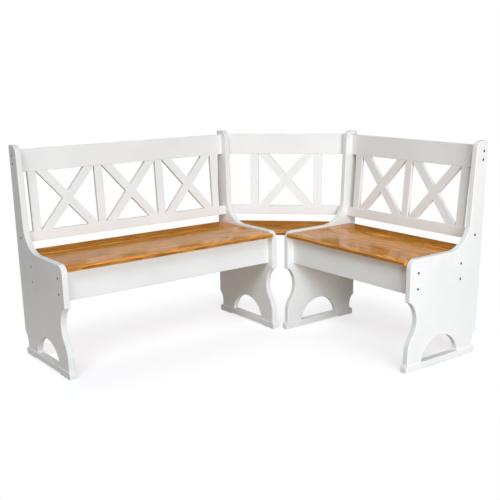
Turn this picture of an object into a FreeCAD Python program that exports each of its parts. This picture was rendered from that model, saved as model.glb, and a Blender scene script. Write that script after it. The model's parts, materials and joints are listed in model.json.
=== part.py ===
import FreeCAD, Part
import math
import os

import Sketcher

# Driving dimensions in millimetres: alias, value, what it measures.
# Depths run back from the front edge of the side panels, heights up from the floor.
SIZES = [
    ("overall_height", 885.0, "floor to the top of the side panels"),
    ("side_thickness", 25.0, "thickness of a side panel"),
    ("side_depth", 420.0, "front edge to rear edge of a side panel"),
    ("long_span", 1000.0, "clear length between the side panels of the long bench"),
    ("short_span", 710.0, "clear length between the side panels of the short bench"),
    ("corner_inset", 24.0, "from the inner corner line to the front edges of the inner panels"),
    ("foot_height", 30.0, "height of a foot bar"),
    ("foot_proud", 3.0, "how far a foot bar stands out from each face of its panel"),
    ("foot_toe", 8.0, "how far a foot bar reaches in front of its panel"),
    ("foot_length", 420.0, "length of a foot bar"),
    ("foot_pad", 86.0, "length of the pad at each end of a foot bar"),
    ("foot_relief", 6.0, "height of the hollow between the pads"),
    ("foot_round", 2.5, "rounding of the upper edges and ends of a foot bar"),
    ("foot_nose_radius", 10.0, "radius of the upper corner at each end of a foot bar"),
    ("arm_rise", 7.0, "from the seat surface up to the arm of the side panel"),
    ("arm_round", 34.0, "radius at the front end of the arm"),
    ("neck_radius", 110.0, "radius from the arm into the upright"),
    ("upright_width", 77.0, "width of the upright just above the neck"),
    ("upright_lean", 2.2, "lean of the upright's front edge, in degrees"),
    ("crown_radius", 30.0, "radius at the front of the upright's top"),
    ("rear_top_radius", 5.0, "radius at the rear of the upright's top"),
    ("waist_depth", 46.0, "depth of the front hollow at its deepest"),
    ("waist_height", 208.0, "height of the deepest point of the front hollow"),
    ("waist_radius", 103.0, "radius of the two arcs of the front hollow"),
    ("waist_top", 288.0, "height of the lower end of the straight front edge"),
    ("waist_cove", 4.0, "rounding in the inner corner above the front hollow"),
    ("waist_nose", 3.5, "rounding of the outer corner above the front hollow"),
    ("toe_inset", 2.0, "how far the panel's toe lies behind its front edge"),
    ("heel_depth", 24.0, "how far the panel's heel lies in front of its rear edge"),
    ("heel_height", 98.0, "height of the upper end of the heel hollow"),
    ("heel_radius", 53.0, "radius of the heel hollow"),
    ("arch_width", 220.0, "width of the arch where it meets the foot bar"),
    ("arch_rise", 91.0, "height of the arch above the foot bar"),
    ("arch_setback", 85.0, "from the panel's front edge to the arch"),
    ("side_edge_round", 3.0, "rounding of the side panel's edges"),
    ("seat_height", 453.0, "floor to the seat surface"),
    ("seat_thickness", 20.0, "thickness of seats and lids"),
    ("seat_overhang", 10.0, "how far the seat stands out in front of the side panels"),
    ("seat_rear", 395.0, "depth of the seat's rear edge"),
    ("seat_end_round", 2.5, "rounding of the ends of the seats"),
    ("seat_gap", 2.0, "gap round a seat or a lid"),
    ("apron_thickness", 22.0, "thickness of an apron"),
    ("apron_height", 123.0, "height of an apron"),
    ("front_apron_setback", 34.0, "depth of the front apron's front face"),
    ("rear_apron_setback", 287.0, "depth of the rear apron's front face"),
    ("rear_board_lip", 2.0, "how far the rear board stands in front of the rear apron"),
    ("rear_board_round", 4.0, "rounding of the rear board's upper front edge"),
    ("edge_round", 2.0, "rounding of the long edges of rails, aprons and stiles"),
    ("back_lift", 39.0, "from the seat surface to the lower back rail"),
    ("back_setback", 362.5, "depth of the lower back rail's front face at its lower edge"),
    ("back_lean", 4.0, "lean of the back, in degrees"),
    ("rail_thickness", 22.0, "thickness of the back rails"),
    ("low_rail_height", 41.0, "height of the lower back rail"),
    ("top_rail_height", 91.0, "height of the top rail"),
    ("top_rail_drop", 17.3, "from the top of the side panels down to the top rail"),
    ("stile_width", 36.5, "width of a stile"),
    ("stile_thickness", 15.5, "thickness of a stile"),
    ("stile_recess", 2.0, "how far a stile lies behind the front of the rails"),
    ("tenon_length", 12.0, "length of a stile's tenon"),
    ("tenon_width", 23.0, "width of a stile's tenon"),
    ("tenon_thickness", 8.0, "thickness of a stile's tenon"),
    ("tenon_clearance", 0.1, "clearance of a tenon in its mortise, on each side"),
    ("long_stile_gap", 30.0, "from a side panel to the nearest stile of the long bench"),
    ("short_stile_gap", 35.5, "from a side panel to the nearest stile of the short bench"),
    ("corner_bay", 264.7, "clear width between the two stiles of the corner back"),
    ("slat_width", 36.5, "width of a crossed slat"),
    ("slat_thickness", 15.5, "thickness of a crossed slat"),
    ("slat_recess", 2.0, "how far a slat lies behind the front of the rails"),
    ("slat_end_gap", 0.5, "gap between a slat's end and the stile beside it"),
    ("bolt_diameter", 6.0, "diameter of a connecting bolt"),
    ("bolt_length", 60.0, "length of a connecting bolt under its head"),
    ("bolt_head_diameter", 10.0, "diameter of a bolt head"),
    ("bolt_head_height", 6.0, "height of a bolt head"),
    ("bolt_socket", 5.0, "width across flats of the hexagon socket"),
    ("bolt_socket_depth", 3.5, "depth of the hexagon socket"),
    ("bolt_hole_clearance", 0.5, "radial clearance of a bolt in the wood"),
    ("head_recess_depth", 7.0, "depth of the recess for a bolt head"),
    ("head_recess_clearance", 0.5, "radial clearance of a bolt head in its recess"),
    ("bolt_tip_gap", 2.0, "free length past the tip of a connecting bolt"),
    ("nut_diameter", 10.0, "diameter of a barrel nut"),
    ("nut_length", 15.0, "length of a barrel nut"),
    ("nut_clearance", 0.1, "radial clearance round and inside a barrel nut"),
    ("nut_setback", 34.0, "from the end of a rail to the middle of its barrel nut"),
    ("top_bolt_upper", 22.0, "from the upper edge of the top rail to its upper bolt"),
    ("top_bolt_spacing", 34.0, "distance between the two bolts of the top rail"),
    ("low_bolt_rise", 19.0, "from the lower edge of the lower rail to its bolt"),
    ("apron_bolt_rise", 29.0, "from the lower edge of an apron to its lower bolt"),
    ("apron_bolt_spacing", 64.0, "distance between the two bolts of an apron"),
    ("floor_thickness", 6.0, "thickness of a box floor"),
    ("floor_rise", 12.0, "from the lower edge of the aprons to the box floor"),
    ("floor_groove_depth", 6.0, "depth of the groove for the box floor"),
    ("floor_clearance", 0.3, "clearance of the box floor in its groove"),
    ("floor_end_gap", 1.0, "gap between the box floor and a side panel"),
    ("pivot_inset", 10.0, "from the lid's rear edge to the pivot axis"),
    ("pivot_diameter", 8.0, "diameter of a pivot pin"),
    ("pivot_clearance", 0.06, "radial clearance of a pivot pin in its bush"),
    ("pivot_seat_depth", 20.0, "how deep a pivot pin sits in the side panel"),
    ("bush_diameter", 12.0, "outer diameter of a pivot bush"),
    ("bush_length", 20.0, "length of a pivot bush"),
    ("pin_end_gap", 1.0, "from the end of a pivot pin to the bottom of its bush hole"),
    ("fit_clearance", 0.02, "radial clearance of a fixed pin, dowel or bush"),
    ("ledge_depth", 22.0, "depth of the ledge that carries the rear of a lid"),
    ("ledge_height", 20.0, "height of that ledge"),
    ("rest_clearance", 0.3, "gap between the ledge and the closed lid"),
    ("batten_width", 40.0, "width of a batten under a lid"),
    ("batten_height", 18.0, "height of a batten under a lid"),
    ("batten_length", 196.0, "length of a batten under a lid"),
    ("batten_setback", 62.0, "depth of the front end of a batten"),
    ("batten_inset", 150.0, "from a lid's end to the middle of its first batten"),
    ("cleat_thickness", 20.0, "thickness of a cleat"),
    ("cleat_height", 25.0, "height of a cleat"),
    ("rear_cleat_length", 72.0, "length of a cleat under a rear board"),
    ("rear_cleat_setback", 314.0, "depth of the front end of that cleat"),
    ("corner_nose", 48.0, "from the inner corner line to the nose of the corner seat"),
    ("corner_nose_round", 9.0, "rounding of that nose"),
    ("corner_seat_rear", 305.0, "from the inner corner line to the rear edge of the corner seat"),
    ("corner_cleat_start", 92.0, "from the inner corner line to the corner cleats"),
    ("corner_cleat_length", 230.0, "length of a corner cleat"),
    ("corner_rail_height", 40.0, "height of the rail under the corner seat's rear edge"),
    ("corner_rail_setback", 262.0, "from the inner corner line to that rail"),
    ("dowel_diameter", 8.0, "diameter of a dowel"),
    ("dowel_length", 26.0, "length of a dowel"),
    ("dowel_inset", 6.4, "from a corner rail's front face to the dowels at the mitre"),
    ("top_dowel_low", 12.0, "from the top rail's lower edge to its lower dowels"),
    ("top_dowel_high", 52.0, "from the top rail's lower edge to its upper dowels"),
    ("low_dowel_rise", 32.0, "from the lower rail's lower edge to its dowels"),
    ("dowel_in_side", 14.0, "how deep a dowel sits in the side panel"),
    ("dowel_end_gap", 1.0, "free length at each end of a dowel's hole"),
    ("screw_diameter", 4.0, "diameter of a wood screw"),
    ("screw_length", 35.0, "length of a wood screw"),
    ("screw_head_diameter", 8.0, "diameter of a screw head"),
    ("screw_head_height", 3.0, "height of a screw head"),
    ("screw_socket", 3.5, "width across flats of a screw's socket"),
    ("screw_socket_depth", 2.0, "depth of a screw's socket"),
    ("screw_clearance", 0.3, "radial clearance of a screw in the wood"),
    ("foot_screw_recess", 10.0, "depth of the recess for a screw in a foot bar"),
    ("foot_screw_front", 40.0, "depth of the front screw of a foot bar"),
    ("foot_screw_rear", 352.0, "depth of the rear screw of a foot bar"),
    ("cleat_screw_recess", 5.0, "depth of the recess for a screw in a cleat"),
    ("cleat_screw_inset", 40.0, "from a corner cleat's end to its screw"),
]

document = FreeCAD.newDocument("corner_bench")
sheet = document.addObject("Spreadsheet::Sheet", "sizes")


class Size:
    """A length with the sheet formula that it comes from."""

    def __init__(self, number, formula):
        self.number = float(number)
        self.formula = formula

    def __add__(self, other):
        other = as_size(other)
        return Size(self.number + other.number, "(%s + %s)" % (self.formula, other.formula))

    def __radd__(self, other):
        return as_size(other) + self

    def __sub__(self, other):
        other = as_size(other)
        return Size(self.number - other.number, "(%s - %s)" % (self.formula, other.formula))

    def __rsub__(self, other):
        return as_size(other) - self

    def __mul__(self, other):
        other = as_size(other)
        return Size(self.number * other.number, "(%s * %s)" % (self.formula, other.formula))

    def __rmul__(self, other):
        return as_size(other) * self

    def __truediv__(self, other):
        other = as_size(other)
        return Size(self.number / other.number, "(%s / %s)" % (self.formula, other.formula))


def as_size(value):
    if isinstance(value, Size):
        return value
    return Size(value, "(%r)" % float(value))


def root(value):
    return Size(math.sqrt(value.number), "sqrt(%s)" % value.formula)


def sine(angle):
    return Size(math.sin(math.radians(angle.number)), "sin(%s)" % angle.formula)


def cosine(angle):
    return Size(math.cos(math.radians(angle.number)), "cos(%s)" % angle.formula)


def fill_sheet():
    """Write every driving dimension into the sheet and give it its alias."""
    sizes = {}
    for row, (alias, number, meaning) in enumerate(SIZES, start=1):
        sheet.set("A%d" % row, meaning)
        sheet.set("B%d" % row, str(number))
        sheet.setAlias("B%d" % row, alias)
        sizes[alias] = Size(number, "sizes.%s" % alias)
    document.recompute()
    return sizes


S = fill_sheet()
ZERO = as_size(0.0)

# A cutting tool starts this far outside the wood and ends as far past it.
SPARE = as_size(1.0)
OUTSIDE = ZERO - SPARE

# Points closer than this are the same.
NEAR = 0.01

STILES = {"long": 4, "short": 3, "corner": 2}
BATTENS = {"long": 3, "short": 2}


def bay_width(name):
    """Clear width between two stiles, which fill the bench's span evenly."""
    if name == "corner":
        return S["corner_bay"]
    count = STILES[name]
    clear = S[name + "_span"] - 2 * S[name + "_stile_gap"] - count * S["stile_width"]
    return clear / (count - 1)


# Heights and depths that follow from the driving dimensions.
ARM_HEIGHT = S["seat_height"] + S["arm_rise"]
SEAT_UNDERSIDE = S["seat_height"] - S["seat_thickness"]
APRON_BOTTOM = SEAT_UNDERSIDE - S["apron_height"]
FOOT_WIDTH = S["side_thickness"] + 2 * S["foot_proud"]
LOW_RAIL_BOTTOM = S["seat_height"] + S["back_lift"]
BACK_RISE = (S["overall_height"] - S["top_rail_drop"] - LOW_RAIL_BOTTOM) / cosine(S["back_lean"])
TOP_RAIL_START = BACK_RISE - S["top_rail_height"]
PANEL_HEIGHT = TOP_RAIL_START - S["low_rail_height"]
REAR_BOARD_FRONT = S["rear_apron_setback"] - S["rear_board_lip"]
LID_REAR = REAR_BOARD_FRONT - S["seat_gap"]
LID_DEPTH = LID_REAR + S["seat_overhang"]
PIVOT_DEPTH = LID_REAR - S["pivot_inset"]
PIVOT_HEIGHT = S["seat_height"] - S["seat_thickness"] / 2
PIN_LENGTH = S["pivot_seat_depth"] + S["seat_gap"] + S["bush_length"] - S["pin_end_gap"]
LONG_LENGTH = S["long_span"] + 2 * S["side_thickness"]
SHORT_LENGTH = S["short_span"] + 2 * S["side_thickness"]
REACH = S["corner_inset"] + S["side_depth"]

# The inner corner line lies here, so that the origin is the middle of the footprint.
CORNER_X = (LONG_LENGTH + S["foot_proud"] - REACH) / 2
CORNER_Y = (SHORT_LENGTH + S["foot_proud"] - REACH) / 2

SUBPARTS = []


def bind(target, name, value):
    """Give a property its number and the formula that keeps it up to date."""
    value = as_size(value)
    target.setExpression(name, value.formula)


class Section:
    """One section of the bench: its own frame with X along it, Y to the rear and Z up."""

    def __init__(self, x, y, turn, back_front, lean):
        self.x = as_size(x)
        self.y = as_size(y)
        self.turn = turn
        self.cos = round(math.cos(math.radians(turn)), 12)
        self.sin = round(math.sin(math.radians(turn)), 12)
        self.back_front = as_size(back_front)
        self.lean = lean

    def world(self, along, depth, height):
        """World coordinates of a point of the section."""
        x = self.x + along * self.cos - depth * self.sin
        y = self.y + along * self.sin + depth * self.cos
        return x, y, as_size(height)

    def back_point(self, along, inward, rise):
        """Section coordinates of a point of the leaning back."""
        depth = self.back_front + inward * cosine(self.lean) + rise * sine(self.lean)
        height = LOW_RAIL_BOTTOM - inward * sine(self.lean) + rise * cosine(self.lean)
        return as_size(along), depth, height

    def rotation(self):
        return FreeCAD.Rotation(FreeCAD.Vector(0, 0, 1), self.turn)

    def back_rotation(self):
        return self.rotation().multiply(FreeCAD.Rotation(FreeCAD.Vector(1, 0, 0), -self.lean.number))


def place(target, rotation, point):
    """Turn an object and bind its position."""
    target.Placement = FreeCAD.Placement(FreeCAD.Vector(0, 0, 0), rotation)
    for axis, value in zip("xyz", point):
        bind(target, "Placement.Base." + axis, value)
    return target


def set_upright(target, section, along, depth, height):
    return place(target, section.rotation(), section.world(as_size(along), as_size(depth), height))


def set_in_back(target, section, along, inward, rise):
    point = section.back_point(along, as_size(inward), as_size(rise))
    return place(target, section.back_rotation(), section.world(*point))


def placed(rotation, point):
    """A plain placement from sizes, for the copies of identical pieces."""
    return FreeCAD.Placement(FreeCAD.Vector(*[as_size(value).number for value in point]), rotation)


def subpart(target, label):
    target.Label = label
    SUBPARTS.append(target)
    return target


def sketch_on(body, role, name, offset=None):
    """A sketch on one of the body's own origin planes."""
    sketch = body.newObject("Sketcher::SketchObject", name)
    plane = [item for item in body.Origin.OriginFeatures if item.Role == role][0]
    sketch.AttachmentSupport = [(plane, "")]
    sketch.MapMode = "FlatFace"
    if offset is not None:
        bind(sketch, "AttachmentOffset.Base.z", offset)
    return sketch


def dimension(sketch, kind, where, value):
    """Add a dimension to a sketch and bind it."""
    value = as_size(value)
    index = sketch.addConstraint(Sketcher.Constraint(kind, *where, value.number))
    name = "size_%d" % index
    sketch.renameConstraint(index, name)
    bind(sketch, "Constraints." + name, value)


def arc_between(start, end, radius, turn):
    """The arc from start to end that turns left (1) or right (-1)."""
    chord = end - start
    middle = (start + end) * 0.5
    reach = math.sqrt(max(radius ** 2 - (chord.Length / 2) ** 2, 0.0))
    side = FreeCAD.Vector(-chord.y, chord.x, 0).normalize()
    centre = middle + side * (reach * turn)
    first, last = (start, end) if turn > 0 else (end, start)
    begin = math.atan2(first.y - centre.y, first.x - centre.x)
    finish = math.atan2(last.y - centre.y, last.x - centre.x)
    if finish < begin:
        finish += 2 * math.pi
    circle = Part.Circle(centre, FreeCAD.Vector(0, 0, 1), radius)
    return Part.ArcOfCircle(circle, begin, finish)


def outline(sketch, corners):
    """Draw a closed outline. A corner is (x, y) or (x, y, radius, turn), where the last two
    describe the arc from this corner to the next."""
    points = [FreeCAD.Vector(as_size(c[0]).number, as_size(c[1]).number, 0) for c in corners]
    ends = []
    for index, corner in enumerate(corners):
        start = points[index]
        end = points[(index + 1) % len(points)]
        if len(corner) == 2:
            geometry = sketch.addGeometry(Part.LineSegment(start, end), False)
            ends.append((geometry, 1, 2))
        else:
            radius = as_size(corner[2])
            arc = arc_between(start, end, radius.number, corner[3])
            geometry = sketch.addGeometry(arc, False)
            ends.append((geometry, 1, 2) if corner[3] > 0 else (geometry, 2, 1))
    for index, (geometry, first, last) in enumerate(ends):
        following = ends[(index + 1) % len(ends)]
        sketch.addConstraint(Sketcher.Constraint("Coincident", geometry, last, following[0], following[1]))
    for (geometry, first, last), corner in zip(ends, corners):
        dimension(sketch, "DistanceX", (-1, 1, geometry, first), corner[0])
        dimension(sketch, "DistanceY", (-1, 1, geometry, first), corner[1])
        if len(corner) > 2:
            dimension(sketch, "Radius", (geometry,), corner[2])
    return sketch


def padded(name, role, corners, length, backwards=False):
    """A body with one pad of an outline."""
    body = document.addObject("PartDesign::Body", name)
    sketch = outline(sketch_on(body, role, name + "_outline"), corners)
    pad = body.newObject("PartDesign::Pad", name + "_pad")
    pad.Profile = sketch
    bind(pad, "Length", length)
    pad.Reversed = backwards
    sketch.Visibility = False
    document.recompute()
    return body


def rounded(body, chosen, radius):
    """Round the edges of a body's tip that a test picks."""
    tip = body.Tip
    names = ["Edge%d" % (i + 1) for i, edge in enumerate(tip.Shape.Edges) if chosen(edge)]
    fillet = body.newObject("PartDesign::Fillet", body.Name + "_round")
    fillet.Base = (tip, names)
    bind(fillet, "Radius", radius)
    body.Tip = fillet
    document.recompute()
    return body


def rounded_rectangle(width, height, radius):
    """Outline of a rectangle whose lower left corner is the origin, with rounded corners."""
    width, height, radius = as_size(width), as_size(height), as_size(radius)
    return [(radius, ZERO), (width - radius, ZERO, radius, 1),
            (width, radius), (width, height - radius, radius, 1),
            (width - radius, height), (radius, height, radius, 1),
            (ZERO, height - radius), (ZERO, radius, radius, 1)]


def board(name, length, depth, height, axis="x"):
    """A straight board with rounded long edges. Its length runs along X, or along the given axis,
    and the two other sizes follow in the order of the axes."""
    plane = {"x": "YZ_Plane", "y": "XZ_Plane", "z": "XY_Plane"}[axis]
    return padded(name, plane, rounded_rectangle(depth, height, S["edge_round"]), length, axis == "y")


AXIS_TURN = {
    "x": FreeCAD.Rotation(FreeCAD.Vector(0, 1, 0), 90),
    "y": FreeCAD.Rotation(FreeCAD.Vector(1, 0, 0), -90),
    "z": FreeCAD.Rotation(),
}


def hole(name, radius, length, axis, point):
    """A cylinder to be cut away, from a point along an axis."""
    cylinder = document.addObject("Part::Cylinder", name)
    bind(cylinder, "Radius", radius)
    bind(cylinder, "Height", length)
    return place(cylinder, AXIS_TURN[axis], point)


def slot(name, length, depth, height, point):
    """A box to be cut away."""
    box = document.addObject("Part::Box", name)
    bind(box, "Length", length)
    bind(box, "Width", depth)
    bind(box, "Height", height)
    return place(box, FreeCAD.Rotation(), point)


def cut(name, base, tools):
    """The base with all the tools cut away."""
    if len(tools) == 1:
        tool = tools[0]
    else:
        tool = document.addObject("Part::MultiFuse", name + "_tools")
        tool.Shapes = tools
        tool.Refine = False
    result = document.addObject("Part::Cut", name)
    result.Base = base
    result.Tool = tool
    result.Refine = False
    return result


def group(label, master, placements):
    """Identical pieces as one node of separate solids."""
    document.recompute()
    copies = []
    for placement in placements:
        copy = master.Shape.copy()
        copy.Placement = placement
        copies.append(copy)
    feature = document.addObject("Part::Feature", label)
    feature.Shape = Part.makeCompound(copies)
    return subpart(feature, label)


# The three sections share one leaning back: the corner back meets the other two at the panels.
corner_lean_number = math.degrees(math.atan(math.tan(math.radians(S["back_lean"].number)) / math.sqrt(2)))
corner_lean = Size(corner_lean_number, "atan(tan(%s) / sqrt(2))" % S["back_lean"].formula)
corner_back = (S["corner_inset"] + S["back_setback"]) / root(as_size(2.0))
LONG = Section(CORNER_X - LONG_LENGTH, CORNER_Y + S["corner_inset"], 0, S["back_setback"], S["back_lean"])
SHORT = Section(CORNER_X + S["corner_inset"], CORNER_Y, -90, S["back_setback"], S["back_lean"])
CORNER = Section(CORNER_X, CORNER_Y, -45, corner_back, corner_lean)
BENCHES = [("long", LONG, S["long_span"]), ("short", SHORT, S["short_span"])]


def bolt_points(section):
    """Depth and height of the seven bolts of a side panel, with the piece that each one holds."""
    middle = S["rail_thickness"] / 2
    top = TOP_RAIL_START + S["top_rail_height"] - S["top_bolt_upper"]
    points = [section.back_point(0, middle, top)[1:] + ("top",),
              section.back_point(0, middle, top - S["top_bolt_spacing"])[1:] + ("top",),
              section.back_point(0, middle, S["low_bolt_rise"])[1:] + ("low",)]
    for setback, name in ((S["rear_apron_setback"], "rear"), (S["front_apron_setback"], "front")):
        depth = setback + S["apron_thickness"] / 2
        low = APRON_BOTTOM + S["apron_bolt_rise"]
        points.append((depth, low, name))
        points.append((depth, low + S["apron_bolt_spacing"], name))
    return points


def side_outline():
    """Outline of a side panel in depth and height, from the toe round to the arch."""
    depth = S["side_depth"]
    top = S["overall_height"]
    radius = S["waist_radius"]
    half_turn = 1 - (S["waist_depth"] - S["toe_inset"]) / (2 * radius)
    swing = radius * root(1 - half_turn * half_turn)
    middle_depth = (S["waist_depth"] + S["toe_inset"]) / 2
    cove, nose = S["waist_cove"], S["waist_nose"]
    centre = S["waist_depth"] - radius
    climb = S["waist_top"] - S["waist_height"] - cove
    reach = root((radius - cove) * (radius - cove) - climb * climb)
    share = radius / (radius - cove)
    lean_cos = cosine(S["upright_lean"])
    lean_sin = sine(S["upright_lean"])
    neck = S["neck_radius"]
    neck_depth = depth - S["upright_width"]
    neck_height = ARM_HEIGHT + neck - neck * lean_sin
    crown = S["crown_radius"]
    crown_height = top - crown + crown * lean_sin
    crown_depth = neck_depth + (crown_height - neck_height) * lean_sin / lean_cos
    rear_round = S["rear_top_radius"]
    heel = S["heel_radius"]
    heel_turn = heel - S["heel_depth"]
    heel_end = S["heel_height"] - root(heel * heel - heel_turn * heel_turn)
    rise = S["arch_rise"]
    arch_radius = (S["arch_width"] * S["arch_width"] / 4 + rise * rise) / (2 * rise)
    return [
        (S["toe_inset"], S["foot_height"]),
        (S["toe_inset"], S["waist_height"] - 2 * swing, radius, -1),
        (middle_depth, S["waist_height"] - swing, radius, 1),
        (centre + reach * share, S["waist_height"] + climb * share, cove, 1),
        (centre + reach, S["waist_top"]),
        (nose, S["waist_top"], nose, -1),
        (ZERO, S["waist_top"] + nose),
        (ZERO, ARM_HEIGHT - S["arm_round"], S["arm_round"], -1),
        (S["arm_round"], ARM_HEIGHT),
        (neck_depth - neck * lean_cos, ARM_HEIGHT, neck, 1),
        (neck_depth, neck_height),
        (crown_depth, crown_height, crown, -1),
        (crown_depth + crown * lean_cos, top),
        (depth - rear_round, top, rear_round, -1),
        (depth, top - rear_round),
        (depth, S["heel_height"], heel, 1),
        (depth - S["heel_depth"], heel_end),
        (depth - S["heel_depth"], S["foot_height"]),
        (S["arch_setback"] + S["arch_width"], S["foot_height"], arch_radius, 1),
        (S["arch_setback"], S["foot_height"]),
    ]


def make_side(label, section, along, bolts_from_right, dowels):
    """A side panel with its holes. Its bolt heads lie in one face and its pivot pin in the other."""
    thick = S["side_thickness"]
    foot = S["foot_height"].number
    body = padded(label + "_blank", "YZ_Plane", side_outline(), thick)

    def on_face(edge):
        ends = [vertex.Point for vertex in edge.Vertexes]
        flat = abs(ends[0].x - ends[-1].x) < NEAR
        on_foot = max(point.z for point in ends) < foot + NEAR and edge.Curve.TypeId == "Part::GeomLine"
        return flat and not on_foot

    rounded(body, on_face, S["side_edge_round"])
    tools = []
    recess = S["head_recess_depth"]
    shank = S["bolt_diameter"] / 2 + S["bolt_hole_clearance"]
    head = S["bolt_head_diameter"] / 2 + S["head_recess_clearance"]
    for index, (depth, height, _) in enumerate(bolt_points(section)):
        name = "%s_bolt_%d" % (label, index)
        tools.append(hole(name, shank, thick + 2 * SPARE, "x", (OUTSIDE, depth, height)))
        start = thick - recess if bolts_from_right else OUTSIDE
        tools.append(hole(name + "_head", head, recess + SPARE, "x", (start, depth, height)))
    pin_radius = S["pivot_diameter"] / 2 + S["fit_clearance"]
    start = OUTSIDE if bolts_from_right else thick - S["pivot_seat_depth"]
    point = (start, PIVOT_DEPTH, PIVOT_HEIGHT)
    tools.append(hole(label + "_pivot", pin_radius, S["pivot_seat_depth"] + SPARE, "x", point))
    pilot = S["screw_diameter"] / 2 + S["screw_clearance"]
    for depth in (S["foot_screw_front"], S["foot_screw_rear"]):
        point = (thick / 2, depth, S["foot_height"] - SPARE)
        length = S["foot_screw_recess"] + S["screw_length"] - S["foot_height"] + 2 * SPARE
        tools.append(hole(label + "_screw", pilot, length, "z", point))
    dowel = S["dowel_diameter"] / 2 + S["fit_clearance"]
    start = thick - S["dowel_in_side"] - S["dowel_end_gap"] if bolts_from_right else OUTSIDE
    length = S["dowel_in_side"] + S["dowel_end_gap"] + SPARE
    for depth, height in dowels:
        tools.append(hole(label + "_dowel", dowel, length, "x", (start, depth, height)))
    result = cut(label, body, tools)
    set_upright(result, section, along, ZERO, ZERO)
    return subpart(result, label)


def make_foot(label, section, along):
    """A foot bar with a pad at each end."""
    length, pad, relief = S["foot_length"], S["foot_pad"], S["foot_relief"]
    height, nose = S["foot_height"], S["foot_nose_radius"]
    corners = [(ZERO, ZERO), (pad, ZERO), (pad, relief), (length - pad, relief), (length - pad, ZERO),
               (length, ZERO), (length, height - nose, nose, 1), (length - nose, height),
               (nose, height, nose, 1), (ZERO, height - nose)]
    body = padded(label + "_blank", "YZ_Plane", corners, FOOT_WIDTH)
    far = length.number

    def outer(edge):
        ends = [vertex.Point for vertex in edge.Vertexes]
        flat = abs(ends[0].x - ends[-1].x) < NEAR
        at_end = all(point.y < NEAR for point in ends) or all(point.y > far - NEAR for point in ends)
        return flat and (at_end or min(point.z for point in ends) > relief.number + NEAR)

    rounded(body, outer, S["foot_round"])
    tools = []
    for depth in (S["foot_screw_front"], S["foot_screw_rear"]):
        point = (FOOT_WIDTH / 2, depth + S["foot_toe"], OUTSIDE)
        shank = S["screw_diameter"] / 2 + S["screw_clearance"]
        head = S["screw_head_diameter"] / 2 + S["screw_clearance"]
        tools.append(hole(label + "_shank", shank, S["foot_height"] + 2 * SPARE, "z", point))
        depth_in = S["foot_screw_recess"] + S["screw_head_height"] + SPARE
        tools.append(hole(label + "_head", head, depth_in, "z", point))
    result = cut(label, body, tools)
    set_upright(result, section, along - S["foot_proud"], ZERO - S["foot_toe"], ZERO)
    return subpart(result, label)


def joint_holes(name, length, thickness, rises):
    """Holes for a bolt and its barrel nut at each end of a board, at the given heights."""
    tools = []
    bolt = S["bolt_diameter"] / 2 + S["bolt_hole_clearance"]
    nut = S["nut_diameter"] / 2 + S["nut_clearance"]
    depth = S["bolt_length"] + S["head_recess_depth"] - S["side_thickness"] + S["bolt_tip_gap"]
    nut_start = (thickness - S["nut_length"]) / 2 - S["nut_clearance"]
    for index, rise in enumerate(rises):
        for end, start, middle in ((0, OUTSIDE, S["nut_setback"]),
                                   (1, length - depth, length - S["nut_setback"])):
            label = "%s_joint_%d_%d" % (name, index, end)
            tools.append(hole(label, bolt, depth + SPARE, "x", (start, thickness / 2, rise)))
            point = (middle, nut_start, rise)
            tools.append(hole(label + "_nut", nut, thickness - nut_start + SPARE, "y", point))
    return tools


def mortises(name, middles, edge, inward):
    """Mortises for the stiles' tenons in a rail, from the rail's edge into the wood."""
    gap = S["tenon_clearance"]
    length = S["tenon_length"] + gap
    start = edge - length if inward < 0 else edge - SPARE
    width = S["tenon_width"] + 2 * gap
    depth = S["tenon_thickness"] + 2 * gap
    front = S["stile_recess"] + (S["stile_thickness"] - S["tenon_thickness"]) / 2 - gap
    tools = []
    for index, middle in enumerate(middles):
        point = (middle - width / 2, front, start)
        tools.append(slot("%s_mortise_%d" % (name, index), width, depth, length + SPARE, point))
    return tools


def stile_middles(name, span):
    """Where the stiles stand along a rail: evenly, with the bay between them, about its middle."""
    count = STILES[name]
    pitch = bay_width(name) + S["stile_width"]
    first = span / 2 - pitch * ((count - 1) / 2)
    return [first + pitch * index for index in range(count)]


def make_stile(label, section, along):
    """A stile with a tenon at each end."""
    body = board(label + "_blank", PANEL_HEIGHT, S["stile_width"], S["stile_thickness"], "z")
    tenons = []
    for index, start in enumerate((ZERO - S["tenon_length"], PANEL_HEIGHT - SPARE)):
        point = ((S["stile_width"] - S["tenon_width"]) / 2,
                 (S["stile_thickness"] - S["tenon_thickness"]) / 2, start)
        tenons.append(slot("%s_tenon_%d" % (label, index), S["tenon_width"], S["tenon_thickness"],
                           S["tenon_length"] + SPARE, point))
    result = document.addObject("Part::MultiFuse", label)
    result.Shapes = [body] + tenons
    set_in_back(result, section, along - S["stile_width"] / 2, S["stile_recess"], S["low_rail_height"])
    return subpart(result, label)


def slat_outline(bay, rising):
    """Outline of a slat in its bay, with level ends that just clear the stiles."""
    rise = PANEL_HEIGHT
    left = S["slat_end_gap"]
    right = bay - S["slat_end_gap"]
    clear = bay - 2 * S["slat_end_gap"]
    share = S["slat_width"] / rise
    rest = 1 - share * share
    end = clear - (clear - share * root(clear * clear + rest * rise * rise)) / rest
    if rising:
        return [(left, ZERO), (left + end, ZERO), (right, rise), (right - end, rise)]
    return [(right - end, ZERO), (right, ZERO), (left + end, rise), (left, rise)]


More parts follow.
